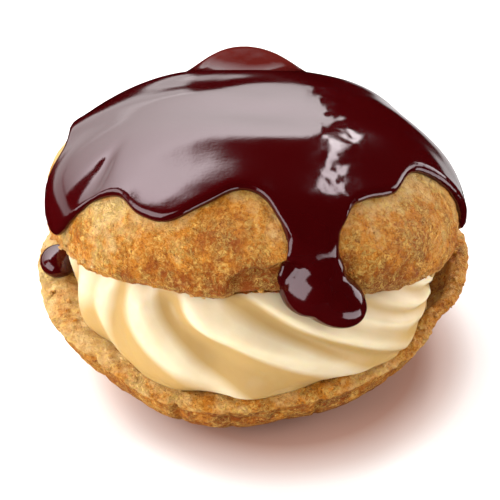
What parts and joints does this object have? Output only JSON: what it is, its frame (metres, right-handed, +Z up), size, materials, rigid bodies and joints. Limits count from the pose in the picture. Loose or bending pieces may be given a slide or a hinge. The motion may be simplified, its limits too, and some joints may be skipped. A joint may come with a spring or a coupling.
{
  "type": "cream puff",
  "caption": "Round choux bun cut open, filled with piped custard cream, with a dark chocolate glaze that runs over its lid.",
  "frame": {"origin": "centre of the box round the bun, on the surface that it rests on", "axes": "+Z up; -Y towards the side where the glaze runs down onto the cream; +X to the right as seen from there"},
  "size_m": [0.081, 0.0768, 0.0564],
  "materials": {
    "choux": "dry, granular, baked golden brown",
    "custard": "smooth soft cream, slightly moist",
    "chocolate": "wet-looking glossy glaze"
  },
  "bodies": {
    "root": {"choux_base": "choux", "custard_cream": "custard", "choux_lid": "choux", "chocolate_glaze": "chocolate", "chocolate_drop": "chocolate"}
  },
  "joints": []
}
